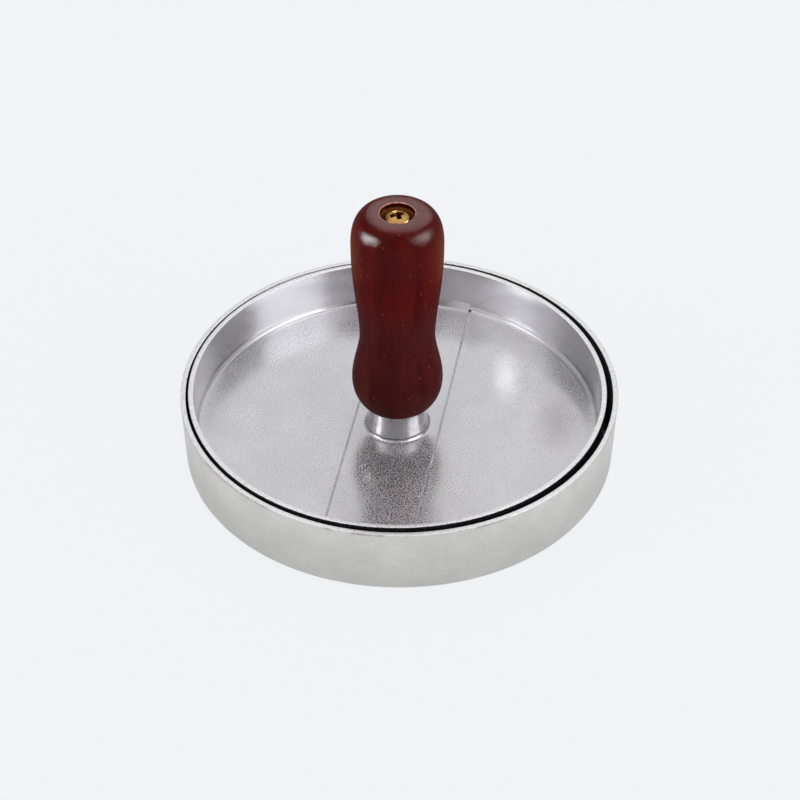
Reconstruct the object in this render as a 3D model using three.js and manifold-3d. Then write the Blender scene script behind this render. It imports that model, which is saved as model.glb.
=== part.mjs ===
// Patty press: a round cast aluminium mould pan, a loose press plate cast in one with its
// hub, and a turned wooden handle that one long machine screw holds down on the hub.
// Millimetres, +Z up. The origin is on the table, at the centre of the mould pan.
import * as THREE from 'three';
import { mergeVertices } from 'three/addons/utils/BufferGeometryUtils.js';
import Module from 'manifold-3d';

const wasm = await Module();
wasm.setup();

// ---- Mould pan ----
const PAN_RADIUS = 60;
const PAN_HEIGHT = 20;
const PAN_RIM_WIDTH = 1.5;
const PAN_OUTER_DRAFT = 0.9;      // the foot is this much smaller in radius than the rim
const PAN_INNER_DRAFT = 0.3;
const PAN_FLOOR = 2.2;            // thickness of the floor
const PAN_FOOT_ROUND = 1.8;       // rounding where the outside meets the table
const PAN_CORNER_ROUND = 1.2;     // rounding inside, between wall and floor
const PAN_FOOT_INNER = 52;        // inside this radius the underside stands clear
const PAN_FOOT_STEP = 0.4;        // by this much
const RIM_BREAK = 0.15;           // broken edges of both turned rims

// ---- Grill ribs on the pan's floor and under the press plate ----
const RIB_PITCH = 6;
const RIB_TOP_WIDTH = 1.6;
const RIB_FOOT_WIDTH = 2.8;
const RIB_HEIGHT = 1.2;
const RIB_FIELD_RADIUS = 53;      // the ribs end on this circle
const RIB_ROOT = 0.5;             // how far a rib runs into the metal it stands on

// ---- Press plate, on its own centre ----
const PLATE_SHIFT_X = -0.5;       // it lies off centre in the pan, by its free play
const PLATE_RADIUS = 57.35;
const PLATE_TOP = 20.5;           // its rim stands a little proud of the pan's
const PLATE_RIM_WIDTH = 1.45;
const PLATE_OUTER_DRAFT = 0.6;
const PLATE_INNER_DRAFT = 0.5;
const PLATE_UNDERSIDE = 4.9;
const PLATE_FLOOR_TOP = 7.5;
const PLATE_EDGE_ROUND = 1.1;
const COVE_RUN = 0.5;             // slope at the foot of the wall, inwards
const COVE_RISE = 1.0;            // and upwards
const STRIP_COVE_RUN = 0.9;       // the same slope at the ends of the middle strip
const STRIP_COVE_RISE = 1.8;
const STRIP_COVE_ROOT = 0.6;      // how far its solid runs into the wall and the floor

// ---- Joint lines that the casting die's middle insert leaves on the plate ----
const STRIP_HALF_WIDTH = 12;
const STRIP_TURN_DEG = -10;       // about the hub, away from the Y axis
const LINE_WIDTH = 0.6;
const LINE_DEPTH = 0.25;

// ---- Hub ----
const HUB_FOOT_RADIUS = 8.9;
const HUB_RADIUS = 8.35;          // just above its foot rounding
const HUB_TOP_RADIUS = 7.1;
const HUB_TOP = 15.6;
const HUB_FOOT_ROUND = 1.1;
const HUB_HOLE_RADIUS = 2.05;     // tapped hole for the handle screw
const HUB_HOLE_BOTTOM = 6.6;
const DRILL_POINT = 0.6;

// ---- Handle, turned in wood ----
const GRIP_END_RADIUS = 7.2;      // flat lower end, on the hub
const GRIP_BULGE_RADIUS = 12.4;
const GRIP_BULGE_Z = 24.4;
const GRIP_NECK_RADIUS = 10.2;
const GRIP_NECK_Z = 39.3;
const GRIP_HEAD_RADIUS = 12.35;
const GRIP_HEAD_Z = 68;
const GRIP_FACE_RADIUS = 6;       // flat top face
const GRIP_TOP = 78.8;
const GRIP_BORE_RADIUS = 2.3;
const COUNTERBORE_RADIUS = 4.7;
const COUNTERBORE_FLOOR = 74.1;
const GRIP_END_FULLNESS = 0.55;   // share of the height from end to bulge that curves outwards
const GRIP_NECK_FULLNESS = 1 / 3; // share of the height from bulge to neck, at both its ends
const GRIP_WAIST_FULLNESS = 0.27; // share of the height from neck to head, above the neck
const GRIP_HEAD_FULLNESS = 0.46;  // and below the head
const GRIP_HEAD_SWELL = 0.25;     // how far the head leans outwards as it starts to round over
const GRIP_SHOULDER_RISE = 0.7;   // share of the head's height before it turns inwards
const GRIP_SHOULDER_REACH = 10.5; // radius towards which it turns inwards at the top

// ---- Fasteners: an M4 x 65 cross-head machine screw and its two washers ----
const SCREW_RADIUS = 1.95;
const SCREW_LENGTH = 65;
const SCREW_TIP_CHAMFER = 0.6;
const HEAD_RADIUS = 3.6;
const HEAD_SIDE = 1.3;            // height of the head's straight side
const HEAD_DOME = 1.3;            // and of the dome above it
const HEAD_DOME_FULLNESS = 0.6;   // share of the dome's height that rises straight up
const RECESS_REACH = 2.2;         // the cross recess, from its centre to a wing's end
const RECESS_BOTTOM_REACH = 0.7;
const RECESS_WIDTH = 1.0;
const RECESS_DEPTH = 1.9;
const RECESS_TURN_DEG = 20;
const WASHER_RADIUS = 4.5;
const WASHER_THICKNESS = 0.8;
const WASHER_HOLE_RADIUS = 2.15;
const SPRING_RADIUS = 3.4;
const SPRING_THICKNESS = 0.9;
const SPRING_HOLE_RADIUS = 2.1;
const SPRING_SPLIT_DEG = 10;

// ---- Roundness of the turned shapes ----
const PAN_SEGMENTS = 96;
const GRIP_SEGMENTS = 48;
const FASTENER_SEGMENTS = 40;
const CURVE_STEPS = 4;            // points on a short rounding
const GRIP_CURVE_STEPS = 8;       // points on each sweep of the handle's outline

const castAluminium = new THREE.MeshStandardMaterial({ color: 0xb9bab9, roughness: 0.5, metalness: 1 });
const turnedAluminium = new THREE.MeshStandardMaterial({ color: 0xc8c9cc, roughness: 0.35, metalness: 1 });
const varnishedWood = new THREE.MeshStandardMaterial({ color: 0x54181a, roughness: 0.3, metalness: 0 });
const brassPlate = new THREE.MeshStandardMaterial({ color: 0xd9bd72, roughness: 0.25, metalness: 1 });
const zincPlate = new THREE.MeshStandardMaterial({ color: 0xb8b49c, roughness: 0.35, metalness: 1 });
const springSteel = new THREE.MeshStandardMaterial({ color: 0x8d8d8a, roughness: 0.4, metalness: 1 });

const radians = THREE.MathUtils.degToRad;

// A closed three.js geometry as a solid that can be cut and joined.
function solid(geometry) {
  const bare = geometry.clone();
  bare.deleteAttribute('normal');
  bare.deleteAttribute('uv');
  const merged = mergeVertices(bare);
  const triangles = [];
  const index = merged.index.array;
  for (let i = 0; i < index.length; i += 3) {
    const [a, b, c] = index.slice(i, i + 3);
    if (a !== b && b !== c && c !== a) {
      triangles.push(a, b, c);
    }
  }
  return new wasm.Manifold(new wasm.Mesh({
    numProp: 3,
    vertProperties: new Float32Array(merged.attributes.position.array),
    triVerts: new Uint32Array(triangles),
  }));
}

// A finished solid as a three.js geometry again.
function geometryOf(body) {
  const { vertProperties, triVerts } = body.getMesh();
  const geometry = new THREE.BufferGeometry();
  geometry.setAttribute('position', new THREE.BufferAttribute(new Float32Array(vertProperties), 3));
  geometry.setIndex(new THREE.BufferAttribute(new Uint32Array(triVerts), 1));
  geometry.computeVertexNormals();
  return geometry;
}

// An outline in radius and height through corners [radius, height, rounding].
// A corner with a rounding is replaced by a curve that starts and ends that far from it.
function outline(corners) {
  const path = new THREE.Path();
  corners.forEach(([x, y, rounding = 0], i) => {
    const corner = new THREE.Vector2(x, y);
    if (i === 0) {
      path.moveTo(x, y);
    } else if (rounding === 0 || i === corners.length - 1) {
      path.lineTo(x, y);
    } else {
      const [fromX, fromY] = corners[i - 1];
      const [toX, toY] = corners[i + 1];
      const back = new THREE.Vector2(fromX, fromY).sub(corner).setLength(rounding).add(corner);
      const on = new THREE.Vector2(toX, toY).sub(corner).setLength(rounding).add(corner);
      path.lineTo(back.x, back.y);
      path.quadraticCurveTo(x, y, on.x, on.y);
    }
  });
  return path;
}

// The solid of revolution of an outline about the Z axis.
function turned(path, steps, segments) {
  return new THREE.LatheGeometry(path.getPoints(steps), segments).rotateX(Math.PI / 2);
}

// A block that stands on heights from bottom to top, turned about the Z axis afterwards.
function block(width, length, bottom, top, x = 0) {
  return new THREE.BoxGeometry(width, length, top - bottom).translate(x, 0, (bottom + top) / 2);
}

// A disc about the Z axis, used as a cutting shape.
function disc(radius, bottom, top, segments) {
  return turned(outline([[0, bottom], [radius, bottom], [radius, top], [0, top]]), 1, segments);
}

// Parallel ribs along Y within a circle. They stand on the face at height root and
// point up or down by the sign of direction.
function grillRibs(root, direction) {
  const rows = Math.floor(RIB_FIELD_RADIUS / RIB_PITCH - 0.5);
  const halfFoot = RIB_FOOT_WIDTH / 2;
  const halfTop = RIB_TOP_WIDTH / 2;
  const section = new THREE.Shape([
    new THREE.Vector2(-halfFoot, -RIB_ROOT),
    new THREE.Vector2(halfFoot, -RIB_ROOT),
    new THREE.Vector2(halfFoot, 0),
    new THREE.Vector2(halfTop, RIB_HEIGHT),
    new THREE.Vector2(-halfTop, RIB_HEIGHT),
    new THREE.Vector2(-halfFoot, 0),
  ]);
  const length = 2 * PAN_RADIUS;
  const field = solid(disc(RIB_FIELD_RADIUS, root - PAN_HEIGHT, root + PAN_HEIGHT, PAN_SEGMENTS));
  const turn = direction > 0 ? Math.PI / 2 : -Math.PI / 2;
  let ribs = null;
  for (let row = -rows; row <= rows; row += 1) {
    const bar = new THREE.ExtrudeGeometry(section, { depth: length, bevelEnabled: false });
    bar.translate(0, 0, -length / 2).rotateX(turn).translate(row * RIB_PITCH, 0, root);
    const rib = solid(bar).intersect(field);
    ribs = ribs ? ribs.add(rib) : rib;
  }
  return ribs;
}

function mouldPan() {
  const footRadius = PAN_RADIUS - PAN_OUTER_DRAFT;
  const innerRadius = PAN_RADIUS - PAN_RIM_WIDTH;
  const shell = turned(outline([
    [0, PAN_FOOT_STEP],
    [PAN_FOOT_INNER, PAN_FOOT_STEP],
    [PAN_FOOT_INNER + PAN_FOOT_STEP, 0],
    [footRadius, 0, PAN_FOOT_ROUND],
    [PAN_RADIUS, PAN_HEIGHT - RIM_BREAK],
    [PAN_RADIUS - RIM_BREAK, PAN_HEIGHT],
    [innerRadius + RIM_BREAK, PAN_HEIGHT],
    [innerRadius, PAN_HEIGHT - RIM_BREAK],
    [innerRadius - PAN_INNER_DRAFT, PAN_FLOOR, PAN_CORNER_ROUND],
    [0, PAN_FLOOR],
  ]), CURVE_STEPS, PAN_SEGMENTS);
  return geometryOf(solid(shell).add(grillRibs(PAN_FLOOR, 1)));
}

// The steeper slope where the middle strip of the plate's floor meets the wall.
function stripCoves(wallRadius) {
  const foot = wallRadius - STRIP_COVE_RUN;
  const root = wallRadius + STRIP_COVE_ROOT;
  const slope = STRIP_COVE_RISE / STRIP_COVE_RUN;
  const ring = turned(outline([
    [foot, PLATE_FLOOR_TOP - STRIP_COVE_ROOT],
    [root, PLATE_FLOOR_TOP - STRIP_COVE_ROOT],
    [root, PLATE_FLOOR_TOP + slope * (STRIP_COVE_RUN + STRIP_COVE_ROOT)],
    [foot, PLATE_FLOOR_TOP],
    [foot, PLATE_FLOOR_TOP - STRIP_COVE_ROOT],
  ]), 1, PAN_SEGMENTS);
  const strip = block(2 * STRIP_HALF_WIDTH, 2 * PLATE_RADIUS, 0, PLATE_TOP);
  strip.rotateZ(radians(STRIP_TURN_DEG));
  return solid(ring).intersect(solid(strip));
}

function pressPlate() {
  const footRadius = PLATE_RADIUS - PLATE_OUTER_DRAFT;
  const innerRadius = PLATE_RADIUS - PLATE_RIM_WIDTH;
  const wallFootRadius = innerRadius - PLATE_INNER_DRAFT;
  const shell = turned(outline([
    [0, PLATE_UNDERSIDE],
    [footRadius, PLATE_UNDERSIDE, PLATE_EDGE_ROUND],
    [PLATE_RADIUS, PLATE_TOP - RIM_BREAK],
    [PLATE_RADIUS - RIM_BREAK, PLATE_TOP],
    [innerRadius + RIM_BREAK, PLATE_TOP],
    [innerRadius, PLATE_TOP - RIM_BREAK],
    [wallFootRadius, PLATE_FLOOR_TOP + COVE_RISE],
    [wallFootRadius - COVE_RUN, PLATE_FLOOR_TOP],
    [HUB_FOOT_RADIUS, PLATE_FLOOR_TOP, HUB_FOOT_ROUND],
    [HUB_RADIUS, PLATE_FLOOR_TOP + HUB_FOOT_ROUND],
    [HUB_TOP_RADIUS, HUB_TOP - RIM_BREAK],
    [HUB_TOP_RADIUS - RIM_BREAK, HUB_TOP],
    [HUB_HOLE_RADIUS, HUB_TOP],
    [HUB_HOLE_RADIUS, HUB_HOLE_BOTTOM + DRILL_POINT],
    [0, HUB_HOLE_BOTTOM],
  ]), CURVE_STEPS, PAN_SEGMENTS);
  let plate = solid(shell).add(stripCoves(wallFootRadius)).add(grillRibs(PLATE_UNDERSIDE, -1));
  for (const side of [-1, 1]) {
    const line = block(
      LINE_WIDTH,
      2 * (wallFootRadius - STRIP_COVE_RUN),
      PLATE_FLOOR_TOP - LINE_DEPTH,
      PLATE_FLOOR_TOP + COVE_RISE,
      side * STRIP_HALF_WIDTH,
    );
    line.rotateZ(radians(STRIP_TURN_DEG));
    const dish = disc(wallFootRadius - COVE_RUN, 0, PLATE_TOP, PAN_SEGMENTS);
    plate = plate.subtract(solid(line).intersect(solid(dish)));
  }
  return geometryOf(plate);
}

// The handle's outline: up the bore, out over the counterbore and the top face,
// down the outside and in across the flat end, then closed.
function handle() {
  const endRise = (GRIP_BULGE_Z - HUB_TOP) * GRIP_END_FULLNESS;
  const bulgeToNeck = (GRIP_NECK_Z - GRIP_BULGE_Z) * GRIP_NECK_FULLNESS;
  const aboveNeck = (GRIP_HEAD_Z - GRIP_NECK_Z) * GRIP_WAIST_FULLNESS;
  const belowHead = (GRIP_HEAD_Z - GRIP_NECK_Z) * GRIP_HEAD_FULLNESS;
  const shoulderZ = GRIP_HEAD_Z + (GRIP_TOP - GRIP_HEAD_Z) * GRIP_SHOULDER_RISE;
  const path = new THREE.Path();
  path.moveTo(GRIP_BORE_RADIUS, HUB_TOP);
  path.lineTo(GRIP_END_RADIUS, HUB_TOP);
  path.bezierCurveTo(
    (GRIP_END_RADIUS + GRIP_BULGE_RADIUS) / 2, HUB_TOP,
    GRIP_BULGE_RADIUS, GRIP_BULGE_Z - endRise,
    GRIP_BULGE_RADIUS, GRIP_BULGE_Z,
  );
  path.bezierCurveTo(
    GRIP_BULGE_RADIUS, GRIP_BULGE_Z + bulgeToNeck,
    GRIP_NECK_RADIUS, GRIP_NECK_Z - bulgeToNeck,
    GRIP_NECK_RADIUS, GRIP_NECK_Z,
  );
  path.bezierCurveTo(
    GRIP_NECK_RADIUS, GRIP_NECK_Z + aboveNeck,
    GRIP_HEAD_RADIUS, GRIP_HEAD_Z - belowHead,
    GRIP_HEAD_RADIUS, GRIP_HEAD_Z,
  );
  path.bezierCurveTo(
    GRIP_HEAD_RADIUS + GRIP_HEAD_SWELL, shoulderZ,
    GRIP_SHOULDER_REACH, GRIP_TOP,
    GRIP_FACE_RADIUS, GRIP_TOP,
  );
  path.lineTo(COUNTERBORE_RADIUS, GRIP_TOP);
  path.lineTo(COUNTERBORE_RADIUS, COUNTERBORE_FLOOR);
  path.lineTo(GRIP_BORE_RADIUS, COUNTERBORE_FLOOR);
  path.lineTo(GRIP_BORE_RADIUS, HUB_TOP);
  return turned(path, GRIP_CURVE_STEPS, GRIP_SEGMENTS);
}

// One wing of the cross recess: a plate that narrows downwards from the head's top.
function recessWing(headTop, turnDeg) {
  const mouth = headTop + HEAD_DOME;
  const side = new THREE.Shape([
    new THREE.Vector2(-RECESS_BOTTOM_REACH, headTop - RECESS_DEPTH),
    new THREE.Vector2(RECESS_BOTTOM_REACH, headTop - RECESS_DEPTH),
    new THREE.Vector2(RECESS_REACH, headTop),
    new THREE.Vector2(RECESS_REACH, mouth),
    new THREE.Vector2(-RECESS_REACH, mouth),
    new THREE.Vector2(-RECESS_REACH, headTop),
  ]);
  const wing = new THREE.ExtrudeGeometry(side, { depth: RECESS_WIDTH, bevelEnabled: false });
  wing.translate(0, 0, -RECESS_WIDTH / 2).rotateX(Math.PI / 2).rotateZ(radians(turnDeg));
  return solid(wing);
}

function handleScrew() {
  const seat = COUNTERBORE_FLOOR + WASHER_THICKNESS + SPRING_THICKNESS;
  const tip = seat - SCREW_LENGTH;
  const headEdge = seat + HEAD_SIDE;
  const headTop = headEdge + HEAD_DOME;
  const path = new THREE.Path();
  path.moveTo(0, tip);
  path.lineTo(SCREW_RADIUS - SCREW_TIP_CHAMFER, tip);
  path.lineTo(SCREW_RADIUS, tip + SCREW_TIP_CHAMFER);
  path.lineTo(SCREW_RADIUS, seat);
  path.lineTo(HEAD_RADIUS, seat);
  path.lineTo(HEAD_RADIUS, headEdge);
  path.bezierCurveTo(
    HEAD_RADIUS, headEdge + HEAD_DOME * HEAD_DOME_FULLNESS,
    HEAD_RADIUS / 2, headTop,
    0, headTop,
  );
  const body = solid(turned(path, 2 * CURVE_STEPS, FASTENER_SEGMENTS));
  const first = recessWing(headTop, RECESS_TURN_DEG);
  const second = recessWing(headTop, RECESS_TURN_DEG + 90);
  return geometryOf(body.subtract(first).subtract(second));
}

function flatWasher() {
  const top = COUNTERBORE_FLOOR + WASHER_THICKNESS;
  return turned(outline([
    [WASHER_HOLE_RADIUS, COUNTERBORE_FLOOR],
    [WASHER_RADIUS, COUNTERBORE_FLOOR],
    [WASHER_RADIUS, top],
    [WASHER_HOLE_RADIUS, top],
    [WASHER_HOLE_RADIUS, COUNTERBORE_FLOOR],
  ]), 1, FASTENER_SEGMENTS);
}

// The split spring washer, pressed flat under the screw's head.
function springWasher() {
  const bottom = COUNTERBORE_FLOOR + WASHER_THICKNESS;
  const start = radians(SPRING_SPLIT_DEG / 2);
  const end = 2 * Math.PI - start;
  const ring = new THREE.Shape();
  ring.absarc(0, 0, SPRING_RADIUS, start, end, false);
  ring.absarc(0, 0, SPRING_HOLE_RADIUS, end, start, true);
  const washer = new THREE.ExtrudeGeometry(ring, {
    depth: SPRING_THICKNESS,
    bevelEnabled: false,
    curveSegments: FASTENER_SEGMENTS,
  });
  return washer.translate(0, 0, bottom);
}

function piece(name, geometry, material) {
  const mesh = new THREE.Mesh(geometry, material);
  mesh.name = name;
  return mesh;
}

const press = new THREE.Group();
press.position.x = PLATE_SHIFT_X;
press.add(piece('press_plate', pressPlate(), turnedAluminium));
press.add(piece('handle', handle(), varnishedWood));
press.add(piece('flat_washer', flatWasher(), zincPlate));
press.add(piece('spring_washer', springWasher(), springSteel));
press.add(piece('handle_screw', handleScrew(), brassPlate));

const pattyPress = new THREE.Group();
pattyPress.add(piece('mould_pan', mouldPan(), castAluminium));
pattyPress.add(press);

export default pattyPress;
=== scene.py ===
"""Patty press: a round cast aluminium mould pan, the loose press plate that lies in it,
and a turned, varnished wooden handle that one long screw holds down on the plate's hub.
Metres, +Z up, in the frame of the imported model."""
import math
import bmesh
import bpy
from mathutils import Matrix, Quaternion, Vector
from mathutils.geometry import interpolate_bezier


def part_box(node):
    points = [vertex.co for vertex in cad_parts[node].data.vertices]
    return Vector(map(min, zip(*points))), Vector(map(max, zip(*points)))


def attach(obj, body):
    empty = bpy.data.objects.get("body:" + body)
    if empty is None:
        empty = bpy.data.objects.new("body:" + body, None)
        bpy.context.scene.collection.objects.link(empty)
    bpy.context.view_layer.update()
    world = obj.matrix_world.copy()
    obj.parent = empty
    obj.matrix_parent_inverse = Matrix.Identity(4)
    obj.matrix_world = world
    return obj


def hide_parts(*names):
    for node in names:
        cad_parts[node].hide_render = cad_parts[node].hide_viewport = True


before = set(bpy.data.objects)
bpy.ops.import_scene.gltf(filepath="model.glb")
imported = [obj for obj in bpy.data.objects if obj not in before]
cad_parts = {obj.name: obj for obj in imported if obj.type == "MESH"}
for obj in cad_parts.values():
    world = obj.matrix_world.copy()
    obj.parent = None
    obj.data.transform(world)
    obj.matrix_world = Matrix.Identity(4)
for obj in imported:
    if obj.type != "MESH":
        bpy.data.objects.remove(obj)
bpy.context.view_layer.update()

MM = 0.001
pan_low, pan_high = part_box("mould_pan")
plate_low, plate_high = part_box("press_plate")
grip_low, grip_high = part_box("handle")
screw_low, screw_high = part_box("handle_screw")
washer_low, washer_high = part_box("flat_washer")
spring_low, spring_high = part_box("spring_washer")

# ---- Sizes that the frame gives ----
PAN_RADIUS = pan_high.x
PAN_TOP = pan_high.z
PLATE_RADIUS = (plate_high.x - plate_low.x) / 2
PLATE_TOP = plate_high.z
PRESS_CENTRE = Vector(((plate_high.x + plate_low.x) / 2, (plate_high.y + plate_low.y) / 2, 0))
HUB_TOP = grip_low.z
GRIP_TOP = grip_high.z
BULGE_RADIUS = (grip_high.x - grip_low.x) / 2
SCREW_TIP = screw_low.z
SCREW_TOP = screw_high.z
HEAD_RADIUS = (screw_high.x - screw_low.x) / 2

# ---- Mould pan ----
PAN_RIM_WIDTH = 1.5 * MM
PAN_OUTER_DRAFT = 0.9 * MM
PAN_INNER_DRAFT = 0.3 * MM
PAN_FLOOR = 2.2 * MM
PAN_FOOT_INNER = 52 * MM
PAN_FOOT_STEP = 0.4 * MM

# ---- Ribs ----
RIB_PITCH = 6 * MM
RIB_TOP_WIDTH = 1.6 * MM
RIB_FOOT_WIDTH = 2.8 * MM
RIB_HEIGHT = 1.2 * MM
RIB_FIELD_RADIUS = 53 * MM
RIB_ROOT = 0.5 * MM
RIB_ROWS = 8

# ---- Press plate and hub ----
PLATE_RIM_WIDTH = 1.45 * MM
PLATE_OUTER_DRAFT = 0.6 * MM
PLATE_INNER_DRAFT = 0.5 * MM
PLATE_UNDERSIDE = plate_low.z + RIB_HEIGHT
PLATE_FLOOR = 7.5 * MM
COVE_RUN = 0.5 * MM
COVE_RISE = 1.0 * MM
STRIP_COVE_RUN = 0.9 * MM
STRIP_COVE_RISE = 1.8 * MM
STRIP_COVE_ROOT = 0.6 * MM
STRIP_HALF_WIDTH = 12 * MM
STRIP_TURN = math.radians(-10)
LINE_DEPTH = 0.2 * MM
LINE_BOTTOM_SHIFT = -0.16 * MM
LINE_GENTLE_SIDE = 0.96 * MM
LINE_STEEP_SIDE = -0.48 * MM
HUB_FOOT_RADIUS = 8.9 * MM
HUB_RADIUS = 8.35 * MM
HUB_TOP_RADIUS = 7.1 * MM
HUB_FOOT_ROUND = 1.1 * MM
HUB_HOLE_RADIUS = 2.05 * MM
HUB_HOLE_BOTTOM = 6.6 * MM
PAINTED_LIGHT_PATCHES = (  # painted light on the floor: a white painted highlight of light thrown off the wall, and darker ovals of painted shade; middle from the hub, reach, tone
    ((31 * MM, 20 * MM), (6 * MM, 15 * MM), (255, 255, 255)),
    ((44 * MM, 0), (8 * MM, 15 * MM), (200, 193, 196)),
    ((-12 * MM, 43 * MM), (8 * MM, 8 * MM), (196, 195, 200)),
    ((24 * MM, 38 * MM), (9 * MM, 7 * MM), (204, 203, 207)),
)

# ---- Handle ----
GRIP_END_RADIUS = 7.2 * MM
BULGE_Z = 24.4 * MM
NECK_RADIUS = 10.2 * MM
NECK_Z = 39.3 * MM
HEAD_END_RADIUS = 12.35 * MM
HEAD_END_Z = 68 * MM
FACE_RADIUS = 6 * MM
GRIP_BORE = 2.3 * MM
COUNTERBORE_RADIUS = 4.7 * MM

# ---- Screw, washers ----
SCREW_CORE = 1.65 * MM
SCREW_CREST = 1.95 * MM
THREAD_PITCH = 0.7 * MM
THREAD_LENGTH = 22 * MM
HEAD_SIDE = 1.3 * MM
TIP_CHAMFER = 0.3 * MM
THREAD_RIDGE = 0.3 * MM
THREAD_START = 1 * MM
THREAD_RUNOUT = 0.5 * MM
RECESS_REACH = 2.2 * MM
RECESS_WIDTH = 1.4 * MM
RECESS_DEPTH = 1.9 * MM
RECESS_MOUTH = 1.5 * MM
RECESS_TURN = math.radians(20)
WASHER_HOLE = 2.15 * MM
SPRING_WIRE_WIDTH = 1.3 * MM
SPRING_SPLIT = math.radians(10)


# ======================= Node nets =======================

class Net:
    """Adds nodes to one tree and links them, so that a pattern reads as one expression."""

    def __init__(self, tree):
        self.tree = tree

    def add(self, kind, inputs=None, **settings):
        made = self.tree.nodes.new(kind)
        for key, value in settings.items():
            setattr(made, key, value)
        for key, value in (inputs or {}).items():
            self.feed(made.inputs[key], value)
        return made

    def feed(self, socket, value):
        if isinstance(value, bpy.types.NodeSocket):
            self.tree.links.new(value, socket)
        elif value is not None:
            socket.default_value = value

    def math(self, operation, a, b=None, c=None):
        made = self.add("ShaderNodeMath", {0: a, 1: b, 2: c}, operation=operation)
        return made.outputs[0]

    def vector_math(self, operation, a, b=None):
        made = self.add("ShaderNodeVectorMath", {0: a, 1: b}, operation=operation)
        return made.outputs["Value" if operation in ("LENGTH", "DOT_PRODUCT") else "Vector"]


class Finish(Net):
    """The node net of one surface finish, around one Principled shader."""

    def __init__(self, name, centre=(0, 0, 0)):
        self.material = bpy.data.materials.new(name)
        self.material.use_nodes = True
        super().__init__(self.material.node_tree)
        self.shader = self.tree.nodes["Principled BSDF"]
        place = self.add("ShaderNodeTexCoord").outputs["Object"]
        self.place = self.vector_math("SUBTRACT", place, tuple(centre))
        split = self.add("ShaderNodeSeparateXYZ", {0: self.place})
        self.x, self.y, self.z = split.outputs
        flat = self.add("ShaderNodeCombineXYZ", {0: self.x, 1: self.y, 2: 0.0}).outputs[0]
        self.radius = self.vector_math("LENGTH", flat)

    def stretched(self, along):
        """The place with each axis multiplied, which draws a pattern out along the smallest."""
        return self.vector_math("MULTIPLY", self.place, tuple(along))

    def noise(self, size, detail=2.0, roughness=0.5, place=None, distortion=0.0):
        """Noise from 0 to 1 with features about as wide as size."""
        made = self.add("ShaderNodeTexNoise", {
            "Vector": place or self.place, "Scale": 1 / size, "Detail": detail,
            "Roughness": roughness, "Distortion": distortion})
        return made.outputs["Fac"]

    def specks(self, spacing, radius, share):
        """1 inside small round specks in a share of the cells, and 0 elsewhere."""
        cells = self.add("ShaderNodeTexVoronoi", {
            "Vector": self.place, "Scale": 1 / spacing, "Randomness": 1.0})
        chosen = self.add("ShaderNodeSeparateColor", {0: cells.outputs["Color"]}).outputs[0]
        near = self.fade(cells.outputs["Distance"], 1.2 * radius / spacing, 0.6 * radius / spacing)
        return self.math("MULTIPLY", near, self.math("LESS_THAN", chosen, share))

    def patch(self, middle, reach):
        """1 in the middle of a soft-edged oval on the XY plane, 0 outside it."""
        across = self.math("DIVIDE", self.math("SUBTRACT", self.x, middle[0]), reach[0])
        along = self.math("DIVIDE", self.math("SUBTRACT", self.y, middle[1]), reach[1])
        way = self.add("ShaderNodeCombineXYZ", {0: across, 1: along}).outputs[0]
        far = self.math("MULTIPLY_ADD", self.noise(5 * MM, 2.0), 0.6, self.vector_math("LENGTH", way))
        return self.fade(far, 1.3, 0.3)

    def fade(self, value, start, end, low=0.0, high=1.0):
        """Goes smoothly from low to high as value goes from start to end."""
        made = self.add("ShaderNodeMapRange", {
            "Value": value, "From Min": start, "From Max": end, "To Min": low, "To Max": high},
            interpolation_type="SMOOTHSTEP")
        return made.outputs[0]

    def blend(self, share, low, high):
        """A number or a colour between low and high."""
        if isinstance(low, tuple) or isinstance(high, tuple) or getattr(low, "type", "") == "RGBA":
            made = self.add("ShaderNodeMix", {0: share, 6: low, 7: high}, data_type="RGBA")
            return made.outputs[2]
        made = self.add("ShaderNodeMix", {0: share, 2: low, 3: high}, data_type="FLOAT")
        return made.outputs[0]

    def shade(self, colour, share):
        """The colour multiplied by a grey value."""
        grey = self.add("ShaderNodeCombineColor", {0: share, 1: share, 2: share}).outputs[0]
        made = self.add("ShaderNodeMix", {0: 1.0, 6: colour, 7: grey}, data_type="RGBA",
                        blend_type="MULTIPLY")
        return made.outputs[2]

    def relief(self, height, depth, normal=None):
        """A bump of that depth, in metres, on top of an earlier one."""
        made = self.add("ShaderNodeBump", {
            "Height": height, "Distance": depth, "Strength": 1.0, "Normal": normal})
        return made.outputs[0]

    def wear(self, **sockets):
        """Feeds the shader, a socket's name written with underscores for spaces."""
        for key, value in sockets.items():
            self.feed(self.shader.inputs[key.replace("_", " ")], value)
        return self.material


def colour(red, green, blue):
    """A linear colour from its usual 0 to 255 values."""
    def linear(value):
        value /= 255
        return value / 12.92 if value <= 0.04045 else ((value + 0.055) / 1.055) ** 2.4
    return (linear(red), linear(green), linear(blue), 1.0)


# ======================= Finishes =======================

def turning_marks(net, pitch):
    """Fine rings about the axis, as a lathe tool leaves them, from 0 to 1."""
    uneven = net.noise(4 * MM, 1.0)
    reach = net.math("MULTIPLY_ADD", uneven, 0.3 * MM, net.radius)
    return net.math("MULTIPLY_ADD", net.math("SINE", net.math("MULTIPLY", reach, math.tau / pitch)),
                    0.5, 0.5)


def round_streaks(net):
    """Faint streaks that run round the outside, as a belt leaves them."""
    arc = net.math("MULTIPLY", net.math("ARCTAN2", net.y, net.x), PAN_RADIUS * 0.12)
    way = net.add("ShaderNodeCombineXYZ", {0: arc, 1: net.radius, 2: net.z}).outputs[0]
    return net.noise(0.4 * MM, 2.0, 0.6, way)


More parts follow.
